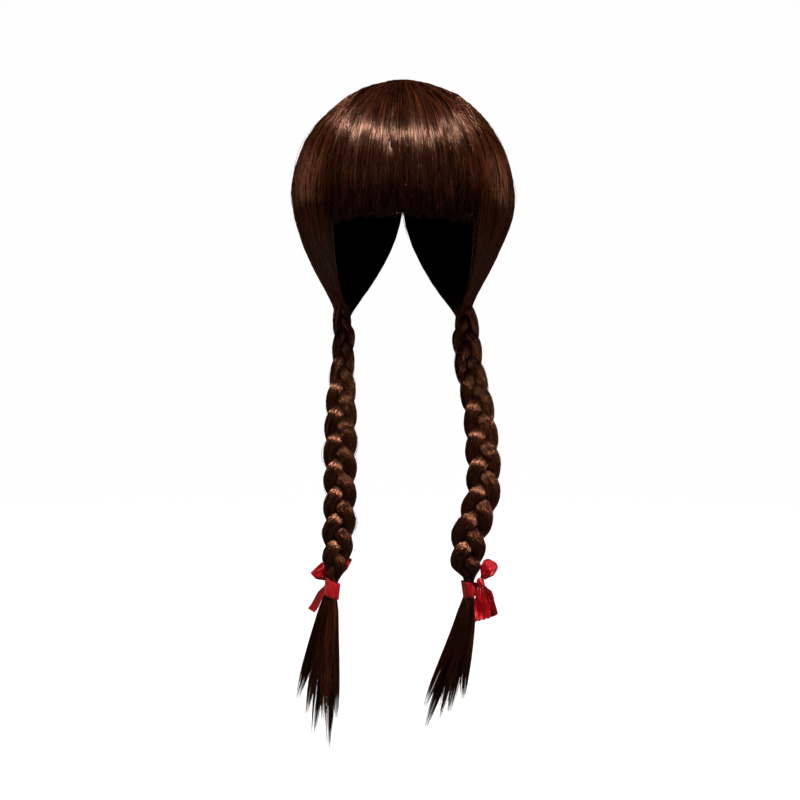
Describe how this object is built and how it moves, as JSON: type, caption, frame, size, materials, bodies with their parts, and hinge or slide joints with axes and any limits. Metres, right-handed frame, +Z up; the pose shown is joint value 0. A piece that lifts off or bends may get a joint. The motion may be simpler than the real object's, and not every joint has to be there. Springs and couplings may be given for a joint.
{
  "type": "pigtail wig",
  "caption": "Wig with a full straight fringe, hair parted at the back, and two long front-hanging braids tied with ribbon bows, open below for a head.",
  "frame": {"origin": "inside of the crown, where the top of the head touches the wig", "axes": "+Z up, the wig faces -Y, +X is the viewer's right, which is the wearer's left"},
  "size_m": [0.1882, 0.2164, 0.5546],
  "materials": {
    "fringe_hair": "silky dark brown fibre",
    "side_hair": "silky brown fibre",
    "braid_hair": "silky dark brown fibre with copper lights",
    "tail_hair": "straight dark brown fibre",
    "ribbon": "red satin"
  },
  "bodies": {
    "root": {"fringe": "fringe_hair", "hair_left": "side_hair", "hair_right": "side_hair", "braid_left_strand_1": "braid_hair", "braid_left_strand_2": "braid_hair", "braid_left_strand_3": "braid_hair", "braid_right_strand_1": "braid_hair", "braid_right_strand_2": "braid_hair", "braid_right_strand_3": "braid_hair", "tail_left": "tail_hair", "tail_right": "tail_hair", "ribbon_left_band": "ribbon", "ribbon_left_knot": "ribbon", "ribbon_left_loop_outer": "ribbon", "ribbon_left_loop_inner": "ribbon", "ribbon_left_end_outer": "ribbon", "ribbon_left_end_inner": "ribbon", "ribbon_right_band": "ribbon", "ribbon_right_knot": "ribbon", "ribbon_right_loop_upper": "ribbon", "ribbon_right_loop_lower": "ribbon", "ribbon_right_end_lower": "ribbon", "ribbon_right_end_back": "ribbon"}
  },
  "joints": []
}
